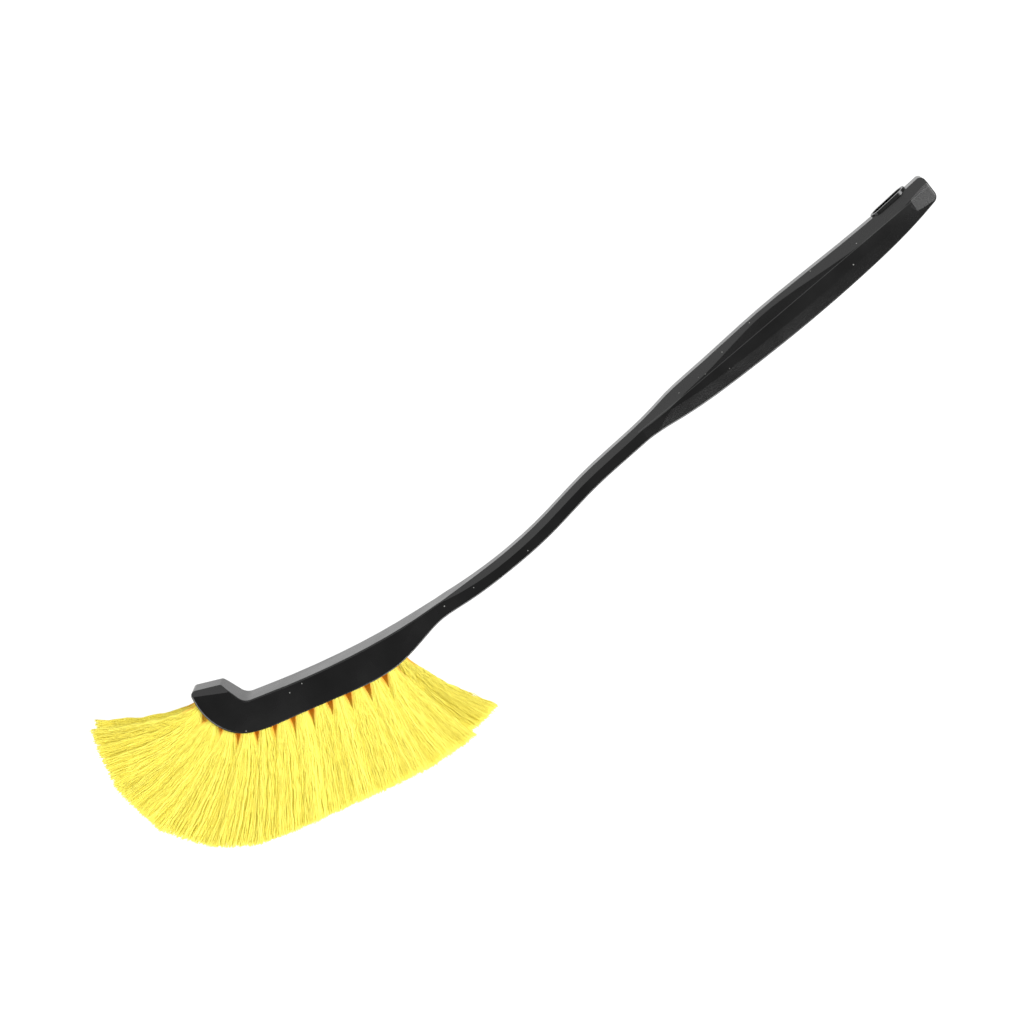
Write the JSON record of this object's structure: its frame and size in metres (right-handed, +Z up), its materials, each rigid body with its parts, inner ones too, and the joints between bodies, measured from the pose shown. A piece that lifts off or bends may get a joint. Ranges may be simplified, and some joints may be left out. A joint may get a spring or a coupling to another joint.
{
  "type": "wheel brush",
  "caption": "Long-handled hand brush with a curved, hooked head and a wide fan of crimped bristle tufts, for washing vehicle wheels.",
  "frame": {"origin": "middle of the brush's overall box at its lowest level, with the brush lying on its side", "axes": "+X from the bristle head towards the end of the grip, +Y towards the brush's upper side (bristles point to -Y), +Z up across the width of the brush"},
  "size_m": [0.4043, 0.0918, 0.023],
  "materials": {
    "black_plastic": "glossy black injection-moulded polypropylene with fine scuffs",
    "yellow_bristle": "bright yellow crimped synthetic filament, slightly translucent",
    "anchor_wire": "flat steel wire"
  },
  "bodies": {
    "root": {"handle": "black_plastic", "lower_row_anchors": "anchor_wire", "lower_row_tuft_01": "yellow_bristle", "lower_row_tuft_02": "yellow_bristle", "lower_row_tuft_03": "yellow_bristle", "lower_row_tuft_04": "yellow_bristle", "lower_row_tuft_05": "yellow_bristle", "lower_row_tuft_06": "yellow_bristle", "lower_row_tuft_07": "yellow_bristle", "lower_row_tuft_08": "yellow_bristle", "lower_row_tuft_09": "yellow_bristle", "lower_row_tuft_10": "yellow_bristle", "lower_row_tuft_11": "yellow_bristle", "lower_row_tuft_12": "yellow_bristle", "middle_row_anchors": "anchor_wire", "middle_row_tuft_01": "yellow_bristle", "middle_row_tuft_02": "yellow_bristle", "middle_row_tuft_03": "yellow_bristle", "middle_row_tuft_04": "yellow_bristle", "middle_row_tuft_05": "yellow_bristle", "middle_row_tuft_06": "yellow_bristle", "middle_row_tuft_07": "yellow_bristle", "middle_row_tuft_08": "yellow_bristle", "middle_row_tuft_09": "yellow_bristle", "middle_row_tuft_10": "yellow_bristle", "middle_row_tuft_11": "yellow_bristle", "upper_row_anchors": "anchor_wire", "upper_row_tuft_01": "yellow_bristle", "upper_row_tuft_02": "yellow_bristle", "upper_row_tuft_03": "yellow_bristle", "upper_row_tuft_04": "yellow_bristle", "upper_row_tuft_05": "yellow_bristle", "upper_row_tuft_06": "yellow_bristle", "upper_row_tuft_07": "yellow_bristle", "upper_row_tuft_08": "yellow_bristle", "upper_row_tuft_09": "yellow_bristle", "upper_row_tuft_10": "yellow_bristle", "upper_row_tuft_11": "yellow_bristle", "upper_row_tuft_12": "yellow_bristle"}
  },
  "joints": []
}
